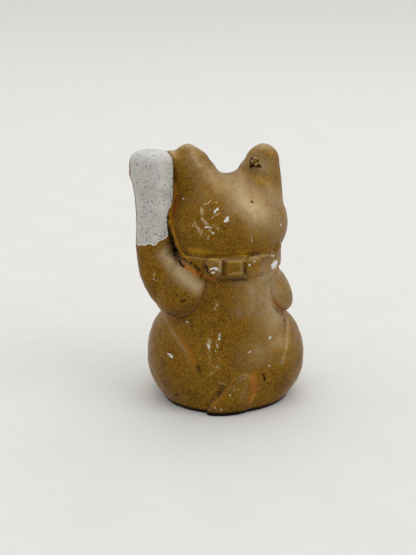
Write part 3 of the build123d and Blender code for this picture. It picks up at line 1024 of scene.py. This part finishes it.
def stuck_on(own, grain, clay):
    """A softened clay copy of one stuck-on piece, with its rim tucked in."""
    piece = clay_copy(merged_copy([own]), own + "_skin", grain, clay.piece_blend)
    fill_hollows(piece, clay.piece_fill, 1.0, clay.fill_limit)
    tuck_in(piece, [own], clay)
    return piece


def bare_patch(arm, clay):
    """Marks and sinks the patch on the back of the raised arm where the paint has come away."""
    places, normals = surface(arm)
    depth = outline_depth(places, BARE_OUTLINE) / MM
    depth += 0.3 * lumps(places, 1.8 * MM, 5.0) + 0.3 * lumps(places, 0.6 * MM, 9.0)
    turned = normals[:, 1] + 0.4 * np.clip(normals[:, 2], 0, 1) + 0.06 * lumps(places, 1.2 * MM, 2.0)
    depth = np.minimum(depth, 6 * (turned - 0.2))
    bare = smooth_step(0, 0.3, depth)
    reshape(arm, places - normals * (bare * clay.bare_depth)[:, None])
    paint_value(arm, "bare", depth)
    paint_value(arm, "torn", 1 - smooth_step(46 * MM, 48 * MM, places[:, 2]))


class LUCKYCAT_OT_paws(bpy.types.Operator):
    """The two hind paws"""

    bl_idname = "luckycat.paws"
    bl_label = "Hind Paws"

    def execute(self, context):
        clay, _, _ = settings()
        for own in ("left_hind_paw", "right_hind_paw"):
            paw = stuck_on(own, clay.grain, clay)
            press(paw, TOE_LINES, -1)
            finish_clay(paw, [own], clay)
        return {"FINISHED"}


class LUCKYCAT_OT_collar(bpy.types.Operator):
    """The collar and the bow at the nape"""

    bl_idname = "luckycat.collar"
    bl_label = "Collar and Bow"

    def execute(self, context):
        clay, _, _ = settings()
        finish_clay(stuck_on("collar_band", clay.grain, clay), ["collar_band"], clay)
        for own in ("bow_left_loop", "bow_knot", "bow_right_loop"):
            block = stuck_on(own, 0.5 * clay.grain, clay)
            low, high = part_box(own)
            middle = (low + high) / 2
            if own == "bow_knot":
                half_width = (high.x - low.x) / 2
                press(block, [((middle.xz / MM,), half_width / MM, clay.knot_dish / MM)], 1)
            else:
                plump_up(block, middle, clay)
            finish_clay(block, [own], clay)
        return {"FINISHED"}


def plump_up(block, middle, clay):
    """Draws a round loop taller and pushes its corners out, seen from behind, to make it a soft block."""
    places, _ = surface(block)
    across = places - np.array(middle)
    across[:, 1] = 0
    corner = 2 * np.abs(across[:, 0] * across[:, 2]) / np.maximum((across**2).sum(axis=1), (0.03 * MM) ** 2)
    places = places + across * (clay.loop_corners * corner)[:, None]
    places[:, 2] += (clay.loop_height - 1) * across[:, 2]
    reshape(block, places)


class LUCKYCAT_OT_bell(bpy.types.Operator):
    """The bell under the chin"""

    bl_idname = "luckycat.bell"
    bl_label = "Bell"

    def execute(self, context):
        clay, _, _ = settings()
        own = "neck_bell"
        bell = clay_copy(merged_copy([own]), own + "_skin", 0.5 * clay.grain, clay.piece_blend)
        finish_clay(bell, [own], clay)
        return {"FINISHED"}


class LUCKYCAT_OT_tail(bpy.types.Operator):
    """The tail, laid on the back of the base"""

    bl_idname = "luckycat.tail"
    bl_label = "Tail"

    def execute(self, context):
        clay, _, _ = settings()
        finish_clay(stuck_on("tail", clay.grain, clay), ["tail"], clay)
        return {"FINISHED"}


class LUCKYCAT_OT_base(bpy.types.Operator):
    """Bare clay on the base slab and the bead of slip inside"""

    bl_idname = "luckycat.base"
    bl_label = "Base and Slip"

    def execute(self, context):
        for node in ("base_slab", "seam_slip"):
            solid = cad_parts[node]
            solid.data.materials.clear()
            solid.data.materials.append(bare_clay())
        return {"FINISHED"}


class LUCKYCAT_OT_stage(bpy.types.Operator):
    """Floor, light and camera"""

    bl_idname = "luckycat.stage"
    bl_label = "Stage"

    def execute(self, context):
        _, _, stage = settings()
        scene = context.scene
        shape = bmesh.new()
        bmesh.ops.create_grid(shape, x_segments=1, y_segments=1, size=stage.floor_reach)
        floor = new_piece(shape, "floor")
        floor.data.materials.append(floor_paper(stage.floor))

        target = Vector(stage.target)
        level = math.cos(stage.rise)
        away = Vector((math.sin(stage.turn) * level, math.cos(stage.turn) * level, math.sin(stage.rise)))
        camera = bpy.data.objects.new("camera", bpy.data.cameras.new("camera"))
        camera.data.sensor_fit = "VERTICAL"
        camera.data.sensor_height = FULL_FRAME
        camera.data.lens = stage.lens
        camera.data.clip_start = stage.near_clip
        camera.location = target + away * stage.distance
        camera.rotation_euler = (-away).to_track_quat("-Z", "Y").to_euler()
        scene.collection.objects.link(camera)
        scene.camera = camera

        add_lamp("window", stage.window_place, stage.window_side, stage.window, target)
        add_lamp("ceiling", stage.ceiling_place, stage.ceiling_side, stage.ceiling, target)
        scene.world = soft_room(stage.sky, stage.backdrop)
        scene.view_settings.view_transform = "Standard"
        return {"FINISHED"}


def soft_room(strength, backdrop):
    """A pale room whose light is dimmer on the camera's side, with an even backdrop where it is seen."""
    world = bpy.data.worlds.new("room")
    world.use_nodes = True
    nodes = world.node_tree.nodes
    links = world.node_tree.links
    direction = nodes.new("ShaderNodeSeparateXYZ")
    links.new(nodes.new("ShaderNodeTexCoord").outputs["Generated"], direction.inputs["Vector"])
    near_side = ramp(nodes, links, direction.outputs["Y"], 0.95, -0.1)
    overhead = ramp(nodes, links, direction.outputs["Z"], 0.2, 0.9)
    light = maths(nodes, links, "MAXIMUM", near_side, overhead)
    light = maths(nodes, links, "ADD", maths(nodes, links, "MULTIPLY", light, 0.62), 0.38)
    light = maths(nodes, links, "MULTIPLY", light, strength)
    ray = nodes.new("ShaderNodeLightPath")
    looked_at = ray.outputs["Is Camera Ray"]
    for kind in ("Is Glossy Ray", "Is Transmission Ray"):
        looked_at = maths(nodes, links, "MAXIMUM", looked_at, ray.outputs[kind])
    light = maths(nodes, links, "MAXIMUM", light, maths(nodes, links, "MULTIPLY", looked_at, backdrop))
    sky = nodes["Background"]
    sky.inputs["Color"].default_value = (1.0, 0.995, 0.985, 1)
    links.new(light, sky.inputs["Strength"])
    return world


def add_lamp(name, place, size, power, target):
    """A square area lamp that faces the target."""
    lamp = bpy.data.lights.new(name, "AREA")
    lamp.energy = power
    lamp.size = size
    light = bpy.data.objects.new(name, lamp)
    light.location = place
    light.rotation_euler = (Vector(place) - target).to_track_quat("Z", "Y").to_euler()
    bpy.context.scene.collection.objects.link(light)


class LUCKYCAT_PT_panel(bpy.types.Panel):
    """Buttons for each group of pieces, and the settings"""

    bl_label = "Lucky Cat"
    bl_space_type = "VIEW_3D"
    bl_region_type = "UI"
    bl_category = "Lucky Cat"

    def draw(self, context):
        for piece in PIECES:
            self.layout.operator(piece.bl_idname)
        for group in settings():
            box = self.layout.box()
            for name in group.bl_rna.properties.keys():
                if name not in ("rna_type", "name"):
                    box.prop(group, name)


GROUPS = {
    "lucky_cat_clay": ClaySettings,
    "lucky_cat_paint": PaintSettings,
    "lucky_cat_stage": StageSettings,
}
PIECES = (
    LUCKYCAT_OT_stage,
    LUCKYCAT_OT_body,
    LUCKYCAT_OT_arms,
    LUCKYCAT_OT_paws,
    LUCKYCAT_OT_collar,
    LUCKYCAT_OT_bell,
    LUCKYCAT_OT_tail,
    LUCKYCAT_OT_base,
)


def register():
    for group in GROUPS.values():
        bpy.utils.register_class(group)
    for name, group in GROUPS.items():
        setattr(bpy.types.Scene, name, PointerProperty(type=group))
    for piece in PIECES:
        bpy.utils.register_class(piece)
    bpy.utils.register_class(LUCKYCAT_PT_panel)


def unregister():
    bpy.utils.unregister_class(LUCKYCAT_PT_panel)
    for piece in reversed(PIECES):
        bpy.utils.unregister_class(piece)
    for name in GROUPS:
        delattr(bpy.types.Scene, name)
    for group in GROUPS.values():
        bpy.utils.unregister_class(group)


def main():
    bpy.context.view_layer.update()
    register()
    bpy.ops.luckycat.stage()
    bpy.ops.luckycat.body()
    bpy.ops.luckycat.arms()
    bpy.ops.luckycat.paws()
    bpy.ops.luckycat.collar()
    bpy.ops.luckycat.bell()
    bpy.ops.luckycat.tail()
    bpy.ops.luckycat.base()


if __name__ == "__main__":
    main()
